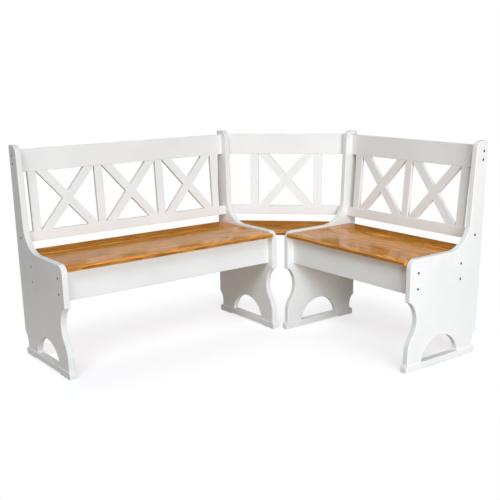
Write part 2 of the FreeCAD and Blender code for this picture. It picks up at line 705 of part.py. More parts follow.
def make_slat(label, section, along, bay, rising):
    """A slat of a cross. The two slats of a cross each lose half their thickness where they meet."""
    body = padded(label, "XZ_Plane", slat_outline(bay, rising), S["slat_thickness"], True)
    before = body.Shape.Volume
    half = S["slat_thickness"] / 2
    sketch = sketch_on(body, "XZ_Plane", label + "_lap")
    outline(sketch, slat_outline(bay, not rising))
    lap = body.newObject("PartDesign::Pocket", label + "_lap_cut")
    lap.Profile = sketch
    bind(lap, "Length", half)
    lap.Reversed = rising
    if rising:
        bind(sketch, "AttachmentOffset.Base.z", ZERO - S["slat_thickness"])
    document.recompute()
    assert body.Shape.Volume < before - 1, label + " has no lap"
    set_in_back(body, section, along, S["slat_recess"], S["low_rail_height"])
    return subpart(body, label)


def make_back(name, section, span, start):
    """The stiles and crosses of one back. Returns where the stiles stand along its rails."""
    middles = stile_middles(name, span)
    bay = bay_width(name)
    for index, middle in enumerate(middles, start=1):
        make_stile("%s_stile_%d" % (name, index), section, start + middle)
    for index, middle in enumerate(middles[:-1], start=1):
        along = start + middle + S["stile_width"] / 2
        make_slat("%s_cross_%d_rising_slat" % (name, index), section, along, bay, True)
        make_slat("%s_cross_%d_falling_slat" % (name, index), section, along, bay, False)
    return middles


def make_bench_back(name, section, span):
    """The back of a straight bench: two rails between its side panels, stiles and crosses."""
    thick = S["rail_thickness"]
    start = S["side_thickness"]
    middles = make_back(name, section, span, start)
    rises = [S["top_rail_height"] - S["top_bolt_upper"],
             S["top_rail_height"] - S["top_bolt_upper"] - S["top_bolt_spacing"]]
    label = name + "_top_rail"
    tools = joint_holes(label, span, thick, rises) + mortises(label, middles, ZERO, 1)
    rail = cut(label, board(label + "_blank", span, thick, S["top_rail_height"]), tools)
    set_in_back(rail, section, start, ZERO, TOP_RAIL_START)
    subpart(rail, label)
    label = name + "_lower_rail"
    tools = joint_holes(label, span, thick, [S["low_bolt_rise"]])
    tools += mortises(label, middles, S["low_rail_height"], -1)
    rail = cut(label, board(label + "_blank", span, thick, S["low_rail_height"]), tools)
    set_in_back(rail, section, start, ZERO, ZERO)
    subpart(rail, label)


def make_aprons(name, section, span):
    """Front and rear apron with their holes and the groove for the box floor."""
    thick = S["apron_thickness"]
    rises = [S["apron_bolt_rise"], S["apron_bolt_rise"] + S["apron_bolt_spacing"]]
    groove = S["floor_thickness"] + 2 * S["floor_clearance"]
    reach = S["floor_groove_depth"] + SPARE
    for which, setback in (("front", S["front_apron_setback"]), ("rear", S["rear_apron_setback"])):
        label = "%s_%s_apron" % (name, which)
        tools = joint_holes(label, span, thick, rises)
        inner = thick - S["floor_groove_depth"] if which == "front" else OUTSIDE
        point = (OUTSIDE, inner, S["floor_rise"] - S["floor_clearance"])
        tools.append(slot(label + "_groove", span + 2 * SPARE, reach, groove, point))
        apron = cut(label, board(label + "_blank", span, thick, S["apron_height"]), tools)
        set_upright(apron, section, S["side_thickness"], setback, APRON_BOTTOM)
        subpart(apron, label)


def make_box_floor(name, section, span):
    """The thin floor of the box under a lid."""
    label = name + "_box_floor"
    sheet_piece = document.addObject("Part::Box", label)
    front = S["front_apron_setback"] + S["apron_thickness"] - S["floor_groove_depth"] + S["floor_clearance"]
    rear = S["rear_apron_setback"] + S["floor_groove_depth"] - S["floor_clearance"]
    bind(sheet_piece, "Length", span - 2 * S["floor_end_gap"])
    bind(sheet_piece, "Width", rear - front)
    bind(sheet_piece, "Height", S["floor_thickness"])
    along = S["side_thickness"] + S["floor_end_gap"]
    set_upright(sheet_piece, section, along, front, APRON_BOTTOM + S["floor_rise"])
    return subpart(sheet_piece, label)


def make_ledge(name, section, span):
    """The ledge on the rear apron that carries the rear of the lid."""
    label = name + "_lid_ledge"
    ledge = board(label, span, S["ledge_depth"], S["ledge_height"])
    height = SEAT_UNDERSIDE - S["rest_clearance"] - S["ledge_height"]
    set_upright(ledge, section, S["side_thickness"], S["rear_apron_setback"] - S["ledge_depth"], height)
    return subpart(ledge, label)


def lid_outline():
    """Cross-section of a lid: a board with two half-round edges."""
    half = S["seat_thickness"] / 2
    return [(half, ZERO), (LID_DEPTH - half, ZERO, half, 1), (LID_DEPTH, half, half, 1),
            (LID_DEPTH - half, S["seat_thickness"]), (half, S["seat_thickness"], half, 1),
            (ZERO, half, half, 1)]


def make_lid(name, section, span):
    """The lift-up seat of a bench, with holes for its pivot bushes."""
    label = name + "_seat_lid"
    length = span - 2 * S["seat_gap"]
    body = padded(label + "_blank", "YZ_Plane", lid_outline(), length)
    rounded(body, lambda edge: abs(edge.Vertexes[0].X - edge.Vertexes[-1].X) < NEAR, S["seat_end_round"])
    radius = S["bush_diameter"] / 2 + S["fit_clearance"]
    depth = LID_DEPTH - S["pivot_inset"]
    reach = S["bush_length"] + S["fit_clearance"]
    tools = []
    for end, start in enumerate((OUTSIDE, length - reach)):
        point = (start, depth, S["seat_thickness"] / 2)
        tools.append(hole("%s_bush_hole_%d" % (label, end), radius, reach + SPARE, "x", point))
    lid = cut(label, body, tools)
    along = S["side_thickness"] + S["seat_gap"]
    set_upright(lid, section, along, ZERO - S["seat_overhang"], SEAT_UNDERSIDE)
    subpart(lid, label)

    batten = board(label + "_batten", S["batten_length"], S["batten_width"], S["batten_height"], "y")
    count = BATTENS[name]
    first = along + S["batten_inset"] - S["batten_width"] / 2
    step = (length - 2 * S["batten_inset"]) / (count - 1)
    places = []
    for index in range(count):
        point = section.world(first + step * index, S["batten_setback"], SEAT_UNDERSIDE - S["batten_height"])
        places.append(placed(section.rotation(), point))
    group(name + "_lid_battens", batten, places)


def make_rear_board(name, section, span):
    """The fixed board behind a lid."""
    label = name + "_rear_board"
    depth = S["seat_rear"] - REAR_BOARD_FRONT
    thick = S["seat_thickness"]
    small, large = S["edge_round"], S["rear_board_round"]
    corners = [(small, ZERO), (depth - large, ZERO, large, 1),
               (depth, large), (depth, thick - large, large, 1),
               (depth - large, thick), (large, thick, large, 1),
               (ZERO, thick - large), (ZERO, small, small, 1)]
    body = padded(label + "_blank", "YZ_Plane", corners, span - 2 * S["seat_gap"])
    pilot = S["screw_diameter"] / 2 + S["screw_clearance"]
    reach = screw_reach()
    tools = []
    for end, along in enumerate(rear_screws(span)):
        point = (along - S["side_thickness"] - S["seat_gap"], rear_screw_depth() - REAR_BOARD_FRONT, OUTSIDE)
        tools.append(hole("%s_pilot_%d" % (label, end), pilot, reach + 2 * SPARE, "z", point))
    result = cut(label, body, tools)
    set_upright(result, section, S["side_thickness"] + S["seat_gap"], REAR_BOARD_FRONT, SEAT_UNDERSIDE)
    return subpart(result, label)


def screw_reach():
    """How far a cleat screw reaches into the seat."""
    return S["cleat_screw_recess"] + S["screw_length"] - S["cleat_height"]


def rear_screw_depth():
    return S["rear_cleat_setback"] + S["rear_cleat_length"] / 2


def rear_screws(span):
    """Where the screws of the two rear cleats stand along a bench."""
    inset = S["cleat_thickness"] / 2
    return [S["side_thickness"] + inset, S["side_thickness"] + span - inset]


def cleat_with_holes(name, length, screws):
    """A cleat that lies along Y, with recessed holes for screws from below."""
    blank = board(name + "_blank", length, S["cleat_thickness"], S["cleat_height"], "y")
    shank = S["screw_diameter"] / 2 + S["screw_clearance"]
    head = S["screw_head_diameter"] / 2 + S["screw_clearance"]
    tools = []
    for index, depth in enumerate(screws):
        point = (S["cleat_thickness"] / 2, depth, OUTSIDE)
        tools.append(hole("%s_shank_%d" % (name, index), shank, S["cleat_height"] + 2 * SPARE, "z", point))
        depth_in = S["cleat_screw_recess"] + S["screw_head_height"] + SPARE
        tools.append(hole("%s_head_%d" % (name, index), head, depth_in, "z", point))
    return cut(name, blank, tools)


def make_rear_cleats():
    """The four cleats under the ends of the rear boards."""
    cleat = cleat_with_holes("rear_cleat", S["rear_cleat_length"], [S["rear_cleat_length"] / 2])
    height = SEAT_UNDERSIDE - S["cleat_height"]
    places = []
    for _, section, span in BENCHES:
        for middle in rear_screws(span):
            point = section.world(middle - S["cleat_thickness"] / 2, S["rear_cleat_setback"], height)
            places.append(placed(section.rotation(), point))
    group("rear_board_cleats", cleat, places)


def corner_region(name, low, high):
    """The block of space between the two inner panels."""
    block = document.addObject("Part::Box", name)
    bind(block, "Length", REACH)
    bind(block, "Width", REACH)
    bind(block, "Height", high - low)
    return place(block, FreeCAD.Rotation(), (ZERO, ZERO, low))


def dowel_points():
    """Depth behind the inner corner line and height of the dowels at each end of the corner rails."""
    root_two = root(as_size(2.0))
    inset = S["dowel_inset"]
    places = []
    for rise in (TOP_RAIL_START + S["top_dowel_low"], TOP_RAIL_START + S["top_dowel_high"],
                 S["low_dowel_rise"]):
        _, depth, height = CORNER.back_point(0, inset, rise)
        places.append((depth * root_two, height))
    depth = (S["corner_rail_setback"] + inset) * root_two
    places.append((depth, SEAT_UNDERSIDE - S["corner_rail_height"] / 2))
    return places


def corner_rail(label, height, cuts, section_place, low, high):
    """A rail across the corner, mitred against the faces of both inner panels."""
    span = 2 * REACH
    blank = board(label + "_blank", span, S["rail_thickness"], height)
    rail = cut(label + "_grooved", blank, cuts) if cuts else blank
    section_place(rail)
    common = document.addObject("Part::Common", label + "_mitred")
    common.Base = rail
    common.Tool = corner_region(label + "_region", low, high)
    common.Refine = False
    radius = S["dowel_diameter"] / 2 + S["fit_clearance"]
    reach = S["dowel_length"] - S["dowel_in_side"] + S["dowel_end_gap"] + SPARE
    tools = []
    for index, (depth, rise) in enumerate(dowel_points()):
        if not low.number < rise.number < high.number:
            continue
        name = "%s_dowel_%d" % (label, index)
        tools.append(hole(name, radius, reach, "x", (OUTSIDE, depth, rise)))
        tools.append(hole(name, radius, reach, "y", (depth, OUTSIDE, rise)))
    result = cut(label, common, tools)
    place(result, FreeCAD.Rotation(), (CORNER_X, CORNER_Y, ZERO))
    return subpart(result, label)


def make_corner_back():
    """The back across the corner."""
    span = 2 * REACH
    middles = make_back("corner", CORNER, span, ZERO - REACH)
    at_origin = Section(ZERO, ZERO, -45, corner_back, corner_lean)

    def put_at(rise):
        return lambda rail: set_in_back(rail, at_origin, ZERO - REACH, ZERO, rise)

    split = LOW_RAIL_BOTTOM + S["low_rail_height"] + PANEL_HEIGHT / 2
    corner_rail("corner_top_rail", S["top_rail_height"], mortises("corner_top", middles, ZERO, 1),
                put_at(TOP_RAIL_START), split, S["overall_height"] + SPARE)
    corner_rail("corner_lower_rail", S["low_rail_height"],
                mortises("corner_lower", middles, S["low_rail_height"], -1),
                put_at(ZERO), S["seat_height"], split)
    corner_rail("corner_seat_rail", S["corner_rail_height"], [],
                lambda rail: set_upright(rail, at_origin, ZERO - REACH, S["corner_rail_setback"],
                                         SEAT_UNDERSIDE - S["corner_rail_height"]),
                APRON_BOTTOM, SEAT_UNDERSIDE)


def corner_cleat_screws():
    """Where the two screws of a corner cleat stand along it."""
    return [S["cleat_screw_inset"], S["corner_cleat_length"] - S["cleat_screw_inset"]]


def make_corner_seat():
    """The triangular seat with its cut-off nose, and the cleats that carry its sides."""
    root_two = root(as_size(2.0))
    gap = S["seat_gap"]
    nose = S["corner_nose"] * root_two
    rear = S["corner_seat_rear"] * root_two
    corners = [(gap, nose - gap), (nose - gap, gap), (rear - gap, gap), (gap, rear - gap)]
    body = padded("corner_seat_blank", "XY_Plane", corners, S["seat_thickness"])
    front = nose.number
    thick = S["seat_thickness"].number

    def on_nose(edge):
        level = abs(edge.Length - thick) > NEAR
        return level and all(abs(vertex.X + vertex.Y - front) < NEAR for vertex in edge.Vertexes)

    rounded(body, on_nose, S["corner_nose_round"])
    pilot = S["screw_diameter"] / 2 + S["screw_clearance"]
    inset = S["cleat_thickness"] / 2
    tools = []
    screws = []
    for along in corner_cleat_screws():
        screws.append((inset, S["corner_cleat_start"] + along))
        screws.append((S["corner_cleat_start"] + along, inset))
    depth = screw_reach() + 2 * SPARE
    for index, (x, y) in enumerate(screws):
        tools.append(hole("corner_seat_pilot_%d" % index, pilot, depth, "z", (x, y, OUTSIDE)))
    seat = cut("corner_seat", body, tools)
    place(seat, FreeCAD.Rotation(), (CORNER_X, CORNER_Y, SEAT_UNDERSIDE))
    subpart(seat, "corner_seat")

    cleat = cleat_with_holes("corner_cleat", S["corner_cleat_length"], corner_cleat_screws())
    height = SEAT_UNDERSIDE - S["cleat_height"]
    left = placed(FreeCAD.Rotation(), (CORNER_X, CORNER_Y + S["corner_cleat_start"], height))
    turned = FreeCAD.Rotation(FreeCAD.Vector(0, 0, 1), -90)
    right = placed(turned, (CORNER_X + S["corner_cleat_start"], CORNER_Y + S["cleat_thickness"], height))
    group("corner_seat_cleats", cleat, [left, right])
    return [(CORNER_X + x, CORNER_Y + y) for x, y in screws]


def make_dowels():
    """The dowels between the corner rails and the inner panels."""
    dowel = document.addObject("Part::Cylinder", "dowel")
    bind(dowel, "Radius", S["dowel_diameter"] / 2)
    bind(dowel, "Height", S["dowel_length"])
    places = []
    for depth, height in dowel_points():
        point = (CORNER_X - S["dowel_in_side"], CORNER_Y + depth, height)
        places.append(placed(AXIS_TURN["x"], point))
        point = (CORNER_X + depth, CORNER_Y - S["dowel_in_side"], height)
        places.append(placed(AXIS_TURN["y"], point))
    group("corner_dowels", dowel, places)


def make_bolt():
    """A socket-head connecting bolt along X, its head below zero."""
    shank = hole("bolt_shank", S["bolt_diameter"] / 2, S["bolt_length"] + SPARE, "x", (OUTSIDE, ZERO, ZERO))
    head = hole("bolt_head", S["bolt_head_diameter"] / 2, S["bolt_head_height"], "x",
                (ZERO - S["bolt_head_height"], ZERO, ZERO))
    whole = document.addObject("Part::MultiFuse", "bolt_whole")
    whole.Shapes = [shank, head]
    socket = document.addObject("Part::Prism", "bolt_socket_tool")
    socket.Polygon = 6
    bind(socket, "Circumradius", S["bolt_socket"] / root(as_size(3.0)))
    bind(socket, "Height", S["bolt_socket_depth"] + SPARE)
    place(socket, AXIS_TURN["x"], (ZERO - S["bolt_head_height"] - SPARE, ZERO, ZERO))
    return cut("bolt", whole, [socket])


def make_nut():
    """A barrel nut along Y with a cross hole along X."""
    length = S["nut_length"]
    barrel = hole("nut_barrel", S["nut_diameter"] / 2, length, "y", (ZERO, ZERO - length / 2, ZERO))
    bore = hole("nut_bore", S["bolt_diameter"] / 2 + S["nut_clearance"], S["nut_diameter"] + 2 * SPARE, "x",
                (ZERO - S["nut_diameter"] / 2 - SPARE, ZERO, ZERO))
    return cut("nut", barrel, [bore])


def make_fasteners():
    """Bolts and barrel nuts at the ends of every bench."""
    bolts = []
    nuts = []
    half_turn = FreeCAD.Rotation(FreeCAD.Vector(0, 0, 1), 180)
    for _, section, span in BENCHES:
        total = span + 2 * S["side_thickness"]
        reach = S["side_thickness"] + S["nut_setback"]
        for depth, height, holds in bolt_points(section):
            left = section.world(S["head_recess_depth"], depth, height)
            right = section.world(total - S["head_recess_depth"], depth, height)
            bolts.append(placed(section.rotation(), left))
            bolts.append(placed(section.rotation().multiply(half_turn), right))
            turn = section.back_rotation() if holds in ("top", "low") else section.rotation()
            nuts.append(placed(turn, section.world(reach, depth, height)))
            nuts.append(placed(turn, section.world(total - reach, depth, height)))
    group("connecting_bolts", make_bolt(), bolts)
    group("barrel_nuts", make_nut(), nuts)


def make_screws(corner_screws):
    """The wood screws, all driven from below."""
    head = hole("screw_head", S["screw_head_diameter"] / 2, S["screw_head_height"], "z", (ZERO, ZERO, ZERO))
    shank = hole("screw_shank", S["screw_diameter"] / 2, S["screw_length"] - SPARE, "z",
                 (ZERO, ZERO, SPARE))
    whole = document.addObject("Part::MultiFuse", "screw_whole")
    whole.Shapes = [head, shank]
    socket = document.addObject("Part::Prism", "screw_socket")
    socket.Polygon = 6
    bind(socket, "Circumradius", S["screw_socket"] / root(as_size(3.0)))
    bind(socket, "Height", S["screw_socket_depth"] + SPARE)
    place(socket, FreeCAD.Rotation(), (ZERO, ZERO, OUTSIDE))
    screw = cut("screw", whole, [socket])
    up = FreeCAD.Rotation()
    cleat_height = SEAT_UNDERSIDE - S["cleat_height"] + S["cleat_screw_recess"]
    places = [placed(up, (x, y, cleat_height)) for x, y in corner_screws]
    for _, section, span in BENCHES:
        for along in (S["side_thickness"] / 2, span + S["side_thickness"] + S["side_thickness"] / 2):
            for depth in (S["foot_screw_front"], S["foot_screw_rear"]):
                places.append(placed(up, section.world(along, depth, S["foot_screw_recess"])))
        for along in rear_screws(span):
            places.append(placed(up, section.world(along, rear_screw_depth(), cleat_height)))
    group("wood_screws", screw, places)


def make_pivots():
    """Pivot pins in the side panels and the bushes in the lids' ends."""
    pin = hole("pin", S["pivot_diameter"] / 2, PIN_LENGTH, "x", (ZERO, ZERO, ZERO))
    outer = hole("bush_outer", S["bush_diameter"] / 2, S["bush_length"], "x", (ZERO, ZERO, ZERO))
    inner = S["pivot_diameter"] / 2 + S["pivot_clearance"]
    bore = hole("bush_bore", inner, S["bush_length"] + 2 * SPARE, "x", (OUTSIDE, ZERO, ZERO))
    bush = cut("bush", outer, [bore])
    document.recompute()
    pins = []
    for name, section, span in BENCHES:
        left = S["side_thickness"] - S["pivot_seat_depth"]
        right = S["side_thickness"] + span + S["pivot_seat_depth"] - PIN_LENGTH
        turned = section.rotation().multiply(AXIS_TURN["x"])
        for along in (left, right):
            pins.append(placed(turned, section.world(along, PIVOT_DEPTH, PIVOT_HEIGHT)))
        near = S["side_thickness"] + S["seat_gap"]
        far = S["side_thickness"] + span - S["seat_gap"] - S["bush_length"]
        places = [placed(section.rotation(), section.world(along, PIVOT_DEPTH, PIVOT_HEIGHT))
                  for along in (near, far)]
        group(name + "_pivot_bushes", bush, places)
    group("pivot_pins", pin, pins)


def inner_dowels():
    """The corner rails' dowels, in the depth of an inner panel."""
    return [(depth - S["corner_inset"], height) for depth, height in dowel_points()]


def make_benches():
    for name, section, span in BENCHES:
        far = span + S["side_thickness"]
        ends = [("outer", ZERO, False), ("inner", far, True)]
        if name == "short":
            ends = [("inner", ZERO, False), ("outer", far, True)]
        for which, along, from_right in ends:
            dowels = inner_dowels() if which == "inner" else []
            make_side("%s_%s_side" % (name, which), section, along, from_right, dowels)
            make_foot("%s_%s_foot" % (name, which), section, along)
        make_bench_back(name, section, span)
        make_aprons(name, section, span)
        make_box_floor(name, section, span)
        make_ledge(name, section, span)
        make_rear_board(name, section, span)
        make_lid(name, section, span)


def check_and_write():
    """Check every object and write one file for each sub-part."""
    document.recompute()
    for item in document.Objects:
        states = [state for state in item.State if state in ("Invalid", "Error")]
        assert not states, "%s is %s" % (item.Label, states)
    os.makedirs("parts", exist_ok=True)
    names = [item.Label for item in SUBPARTS]
    assert len(names) == len(set(names)) <= 60, len(names)
    box = FreeCAD.BoundBox()
    for item in SUBPARTS:
        shape = item.Shape
        assert not shape.isNull() and shape.isValid(), item.Label + " has no sound shape"
        assert shape.Solids, item.Label + " has no solid"
        box.add(shape.BoundBox)
    for item in SUBPARTS:
        item.Shape.exportStep("parts/%s.step" % item.Label)
    print(len(names), "nodes,", sum(len(item.Shape.Solids) for item in SUBPARTS), "solids")
    print("box x %.1f to %.1f, y %.1f to %.1f, z %.1f to %.1f" % (
        box.XMin, box.XMax, box.YMin, box.YMax, box.ZMin, box.ZMax))


make_benches()
make_corner_back()
corner_screw_points = make_corner_seat()
make_rear_cleats()
make_dowels()
make_fasteners()
make_screws(corner_screw_points)
make_pivots()
check_and_write()
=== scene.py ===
# %% [markdown]
# # A painted corner bench, dressed for its picture
#
# The bench stands in a corner: a long arm on the left, a short arm on the right and a small
# three-cornered seat between them. Side panels, aprons and backs are painted white. The seats are
# glued up from staves, stained honey brown and varnished. The solids come finished from the
# workshop model, with their rounded edges, bolts and joints, so this lesson gives them their
# surfaces, sets the light and puts the camera where the photographer stood.

# %% Load the bench
import json
import math

import bmesh
import bpy
from mathutils import Matrix, Vector


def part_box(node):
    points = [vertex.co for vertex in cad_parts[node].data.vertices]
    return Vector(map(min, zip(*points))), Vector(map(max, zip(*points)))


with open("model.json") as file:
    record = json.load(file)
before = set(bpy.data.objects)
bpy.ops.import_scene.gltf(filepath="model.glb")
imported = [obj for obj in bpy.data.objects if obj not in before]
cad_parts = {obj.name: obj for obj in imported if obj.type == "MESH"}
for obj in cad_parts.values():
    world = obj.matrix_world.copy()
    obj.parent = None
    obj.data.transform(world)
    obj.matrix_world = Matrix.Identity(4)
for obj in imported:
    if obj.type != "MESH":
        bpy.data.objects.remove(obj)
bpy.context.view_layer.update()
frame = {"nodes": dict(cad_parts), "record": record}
nodes = frame["nodes"]
slots = {entry["node"]: entry["material_slot"] for entry in frame["record"]["subparts"]}

# %% [markdown]
# ## Small helpers
#
# Paint and stain are chosen from a colour chart, and charts are written for screens. The
# renderer reckons in plain light, so one function turns the chart's hex value into that. Materials
# are built from nodes. They could be wired by hand in Blender's editor, but a script can be read
# and changed. One function adds a node with its settings, and a smaller one fills a node's inputs,
# each with a value or with a link from another node.

# %% Colour and node helpers
MM = 0.001


def chart(colour):
    """A hex colour from a chart as linear red, green, blue and alpha."""
    parts = [int(colour[index:index + 2], 16) / 255 for index in (1, 3, 5)]
    return [p / 12.92 if p <= 0.04045 else ((p + 0.055) / 1.055) ** 2.4 for p in parts] + [1.0]


def feed(item, inputs):
    """Fill inputs by name or number: a value, a socket, or a node for its first output."""
    for name, value in inputs.items():
        if isinstance(value, bpy.types.Node):
            value = value.outputs[0]
        if isinstance(value, bpy.types.NodeSocket):
            item.id_data.links.new(value, item.inputs[name])
        else:
            item.inputs[name].default_value = value
    return item


def add(tree, kind, inputs=None, stops=(), **settings):
    """Add a node and fill it. Stops are the positions and hex colours of a colour ramp."""
    item = tree.nodes.new(kind)
    for name, value in settings.items():
        setattr(item, name, value)
    if stops:
        elements = item.color_ramp.elements
        while len(elements) < len(stops):
            elements.new(0.5)
        for element, (position, colour) in zip(elements, stops):
            element.position = position
            element.color = chart(colour)
    return feed(item, inputs or {})


def new_surface(name):
    """A material with a principled shader and object coordinates, which are metres here."""
    surface = bpy.data.materials.new(name)
    surface.use_nodes = True
    tree = surface.node_tree
    place = add(tree, "ShaderNodeTexCoord").outputs["Object"]
    return surface, tree, tree.nodes["Principled BSDF"], place


print("the chart's mid grey is %.3f in plain light" % chart("#808080")[0])

# %% [markdown]
# ## Which way each piece was cut
#
# Every part of the bench was sawn from a board, and the grain runs the long way of the piece. So
# before any finish goes on, the script measures each piece along ten directions: along either
# bench, across the corner, upright, and up or down the crosses. The direction in which the piece is
# longest is the way of its grain.

# %% Find the grain direction
HEADINGS = (0, 90, 135)
CROSS_CLIMB = 47


def direction(heading, climb):
    """A direction from its heading, counted round from the x axis, and its climb, in degrees."""
    level, up = math.cos(math.radians(climb)), math.sin(math.radians(climb))
    turn = math.radians(heading)
    return Vector((level * math.cos(turn), level * math.sin(turn), up))


GRAIN_WAYS = {"upright": direction(0, 90)}
for heading in HEADINGS:
    GRAIN_WAYS["level_%d" % heading] = direction(heading, 0)
    GRAIN_WAYS["rising_%d" % heading] = direction(heading, CROSS_CLIMB)
    GRAIN_WAYS["falling_%d" % heading] = direction(heading, -CROSS_CLIMB)


def long_way(piece):
    """The name of the direction in which a piece is longest."""
    def length(name):
        along = [vertex.co.dot(GRAIN_WAYS[name]) for vertex in piece.data.vertices]
        return max(along) - min(along)
    return max(GRAIN_WAYS, key=length)


ways = {name: long_way(piece) for name, piece in nodes.items()}
print("grain ways in use:", sorted(set(ways.values())))

# %% [markdown]
# ## The white paint
#
# This is a water-borne acrylic furniture paint, sprayed in two coats on pine and rubbed to a satin
# sheen. Seen close it has a faint orange peel about two millimetres across. The hard rings of the
# pine still stand a hair proud under it, so faint ridges run the long way of each piece, and over a
# long rail the white drifts a little in warmth. A plain white would look like plastic. So a slow
# noise tints the colour, a little with help from the ridges. The orange peel and the ridges shape
# the surface, and the sheen varies slightly with the peel.

# %% Satin acrylic paint
PAINT = [(0.32, "#E9E9E7"), (0.68, "#F0F0EE")]
PAINT_SHEEN = (0.42, 0.54)
DRIFT = 180 * MM
# The white's tint follows the slow drift most, and the ridges for the rest.
DRIFT_SHARE = 0.65
PEEL = 2.2 * MM
PEEL_DEPTH = 0.05 * MM
# Ridges of pine are about a millimetre apart, too fine for this picture, so they are drawn coarser.
RIDGE = 3.0 * MM
RIDGE_DEPTH = 0.12 * MM
RIDGE_STRETCH = 0.04


def acrylic_paint(way):
    """Sprayed satin acrylic over pine: off-white, soft highlights, faint ridges along the grain."""
    surface, tree, shader, place = new_surface("satin_acrylic_paint_" + way)
    turn = GRAIN_WAYS[way].to_track_quat("X", "Z").inverted().to_euler()
    drift = add(tree, "ShaderNodeTexNoise", {"Vector": place, "Scale": 1 / DRIFT, "Detail": 2.0})
    peel = add(tree, "ShaderNodeTexNoise", {"Vector": place, "Scale": 1 / PEEL, "Detail": 1.0})
    turned = add(tree, "ShaderNodeMapping", {"Vector": place, "Rotation": turn})
    drawn = add(tree, "ShaderNodeMapping", {"Vector": turned, "Scale": (RIDGE_STRETCH, 1.0, 1.0)})
    ridge = add(tree, "ShaderNodeTexNoise", {"Vector": drawn, "Scale": 1 / RIDGE, "Detail": 3.0,
                                             "Roughness": 0.6})
    tint = add(tree, "ShaderNodeMath", {0: ridge, 1: 1 - DRIFT_SHARE}, operation="MULTIPLY")
    tint = add(tree, "ShaderNodeMath", {0: drift, 1: DRIFT_SHARE, 2: tint},
               operation="MULTIPLY_ADD")
    sheen = add(tree, "ShaderNodeMapRange", {"Value": peel, "To Min": PAINT_SHEEN[0],
                                             "To Max": PAINT_SHEEN[1]})
    dimples = add(tree, "ShaderNodeBump", {"Height": peel, "Strength": 0.25,
                                           "Distance": PEEL_DEPTH})
    ridges = add(tree, "ShaderNodeBump", {"Height": ridge, "Strength": 0.3,
                                          "Distance": RIDGE_DEPTH, "Normal": dimples})
    feed(shader, {"Base Color": add(tree, "ShaderNodeValToRGB", {"Fac": tint}, PAINT),
                  "Roughness": sheen, "Normal": ridges, "IOR": 1.45, "Specular IOR Level": 0.25})
    return surface


paints = {way: acrylic_paint(way) for way in sorted(set(ways.values()))}
print("the paint is mixed", len(paints), "times, once for each grain way")

# %% [markdown]
# ## Staves from one log
#
# The seats are glued up from staves a hand's width across, with the grain along the bench. Each
# stave was cut from another part of a log, so its growth rings start somewhere else and it takes
# the stain a little lighter or darker. A picture of wood would repeat and blur, so the wood is
# reckoned instead: the staves are counted across the seat, and each number rolls its own dice.
# Coordinates first turn so that they read along the grain, across the seat from its front edge, and
# up from its surface.

# %% Staves
STAVE = 95 * MM
# A glue line is thinner than a hair and wouldn't show in this picture, so it is drawn coarser.
SEAM = 1.8 * MM
# How far apart in the log two staves can lie: along the grain, across it and up, in metres.
LOG_SPREAD = (40.0, 0.30, 0.06)


def staves(tree, place, turn, origin, seed):
    """The place in the log, the stave's dice and the glue lines, counted from a front edge."""
    start = Matrix.Rotation(turn, 3, "Z") @ Vector(origin)
    board = add(tree, "ShaderNodeMapping", {"Vector": place, "Rotation": (0.0, 0.0, turn),
                                            "Location": -start})
    across = add(tree, "ShaderNodeSeparateXYZ", {"Vector": board}).outputs["Y"]
    across = add(tree, "ShaderNodeMath", {0: across, 1: STAVE}, operation="DIVIDE")
    number = add(tree, "ShaderNodeMath", {0: across}, operation="FLOOR")
    number = add(tree, "ShaderNodeMath", {0: number, 1: seed}, operation="ADD")
    dice = add(tree, "ShaderNodeTexWhiteNoise", {"W": number}, noise_dimensions="1D").outputs
    log = add(tree, "ShaderNodeVectorMath", {0: dice["Color"], 1: LOG_SPREAD}, operation="MULTIPLY")
    log = add(tree, "ShaderNodeVectorMath", {0: board, 1: log}, operation="ADD")

    # A glue line runs where two staves meet. The compare node takes half its width.
    seam = add(tree, "ShaderNodeMath", {0: across, 1: 0.5}, operation="ADD")
    seam = add(tree, "ShaderNodeMath", {0: seam}, operation="FRACT")
    seam = add(tree, "ShaderNodeMath", {0: seam, 1: 0.5, 2: SEAM / 2 / STAVE}, operation="COMPARE")
    return log, dice["Value"], seam


print("staves %.0f mm wide, glue lines %.1f mm" % (STAVE / MM, SEAM / MM))

# %% [markdown]
# ## Knots
#
# Where a branch grew, the rings swerve round a small dark knot. Knots could be placed one by one,
# but they belong anywhere. So the log is laid out in cells as long as a forearm, and about one cell
# in five has a knot near its middle. The knot gives two things: its dark heart, and a push that
# bends the rings aside.

# %% Knots
# Cells per metre: along the grain, across it and up.
KNOT_CELLS = (3.2, 10.0, 0.0)
KNOT_SHARE = 0.22
# How far a knot is felt, as a share of its cell.
KNOT_REACH = 0.35
KNOT_HEART = (0.9, 0.98)
KNOT_PUSH = 12 * MM


def knots(tree, log):
    """The dark heart of the knots, and how far they push the rings aside."""
    cells = add(tree, "ShaderNodeMapping", {"Vector": log, "Scale": KNOT_CELLS})
    cell = add(tree, "ShaderNodeTexVoronoi", {"Vector": cells, "Scale": 1.0, "Randomness": 0.8},
               voronoi_dimensions="2D").outputs
    chosen = add(tree, "ShaderNodeSeparateColor", {"Color": cell["Color"]})
    chosen = add(tree, "ShaderNodeMath", {0: chosen, 1: KNOT_SHARE}, operation="LESS_THAN")
    near = add(tree, "ShaderNodeMapRange", {"Value": cell["Distance"], "From Max": KNOT_REACH,
                                            "To Min": 1.0, "To Max": 0.0},
               interpolation_type="SMOOTHSTEP")
    near = add(tree, "ShaderNodeMath", {0: near, 1: chosen}, operation="MULTIPLY")
    heart = add(tree, "ShaderNodeMapRange", {"Value": near, "From Min": KNOT_HEART[0],
                                             "From Max": KNOT_HEART[1]})
    push = add(tree, "ShaderNodeVectorMath", {0: (0.0, KNOT_PUSH, KNOT_PUSH), "Scale": near},
               operation="SCALE")
    return heart, push


print("knots sit in %.0f%% of the cells" % (100 * KNOT_SHARE))

